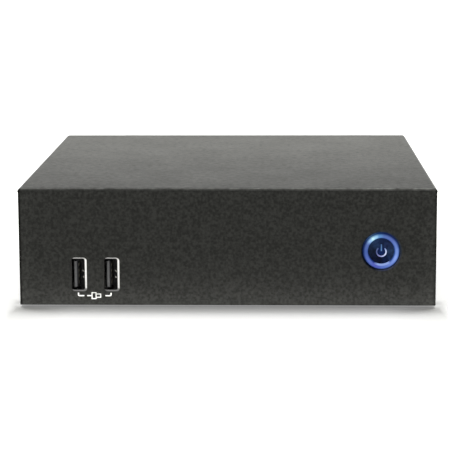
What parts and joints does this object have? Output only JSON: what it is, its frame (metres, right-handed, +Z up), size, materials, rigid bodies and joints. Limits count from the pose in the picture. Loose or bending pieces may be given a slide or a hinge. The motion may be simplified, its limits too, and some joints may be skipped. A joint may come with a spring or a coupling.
{
  "type": "mini pc",
  "caption": "Low square computer case of folded black steel, with two upright USB sockets and a lit round power button in front and its sockets behind.",
  "frame": {"origin": "on the floor under the middle of the case, with the feet on z = 0", "axes": "+X to the right as seen from the front, +Y to the rear, +Z up"},
  "size_m": [0.165, 0.1579, 0.048],
  "materials": {
    "powder_coat": "fine textured black powder coat",
    "black_screw": "black oxide",
    "zinc_steel": "zinc plated",
    "rubber": "matt",
    "brass": "turned",
    "board_green": "solder resist",
    "ivory_plastic": "moulded",
    "silicon": "polished",
    "ferrite": "pressed",
    "can_aluminium": "satin",
    "black_plastic": "moulded",
    "bare_aluminium": "milled",
    "bright_steel": "bright",
    "nickel_shell": "bright nickel",
    "gold": "gold plated",
    "white_plastic": "moulded",
    "lit_ring": "clear, lit blue from behind",
    "dark_cap": "dark navy, satin",
    "lit_symbol": "lit from behind",
    "led": "clear",
    "copper": "bare copper",
    "drive_case": "satin",
    "cable": "flexible jacket"
  },
  "bodies": {
    "case": {"top_cover": "powder_coat", "chassis_tray": "powder_coat", "cover_screws": "black_screw", "cover_nuts": "zinc_steel", "rubber_feet": "rubber", "mount_nuts": "zinc_steel", "board_standoffs": "brass", "main_board": "board_green", "board_screws": "zinc_steel", "board_headers": "ivory_plastic", "processor_package": "board_green", "processor_die": "silicon", "power_inductors": "ferrite", "power_capacitors": "can_aluminium", "coin_cell_holder": "black_plastic", "coin_cell": "bright_steel", "memory_sockets": "black_plastic", "memory_module_1": "board_green", "memory_module_2": "board_green", "memory_chips": "black_plastic", "dc_jack": "black_plastic", "dc_jack_pin": "bright_steel", "hdmi_shell": "nickel_shell", "displayport_shell": "nickel_shell", "video_tongues": "black_plastic", "lan_jack": "nickel_shell", "lan_contacts": "gold", "rear_usb_shells": "nickel_shell", "rear_usb_tongues": "white_plastic", "audio_jacks": "black_plastic", "front_usb_shells": "nickel_shell", "front_usb_tongues": "black_plastic", "front_usb_contacts": "gold", "front_board": "board_green", "front_board_screws": "zinc_steel", "button_light_ring": "lit_ring", "button_holder": "black_plastic", "button_board": "board_green", "button_screws": "zinc_steel", "key_switch_body": "black_plastic", "button_leds": "led", "cold_plate": "copper", "heat_pipe": "copper", "cooling_fins": "bare_aluminium", "blower_housing": "black_plastic", "blower_lid": "bright_steel", "blower_motor": "copper", "cooler_screws": "zinc_steel", "drive_bracket": "zinc_steel", "drive_posts": "brass", "drive": "drive_case", "drive_screws": "zinc_steel", "bracket_screws": "zinc_steel", "internal_cables": "cable"},
    "button": {"button_cap": "dark_cap", "power_symbol": "lit_symbol", "key_switch_plunger": "ivory_plastic"},
    "blower_rotor": {"impeller": "black_plastic"}
  },
  "joints": [
    {"name": "power_button_press", "type": "slide", "parent": "case", "child": "button", "axis": [0, 1, 0], "range_m": [0, 0.0008], "stiffness_N_per_m": 2500, "springref_m": -0.0003},
    {"name": "blower_spin", "type": "hinge", "parent": "case", "child": "blower_rotor", "pos_m": [0.03603, -0.00808, 0.025], "axis": [0, 0, 1], "continuous": true}
  ]
}
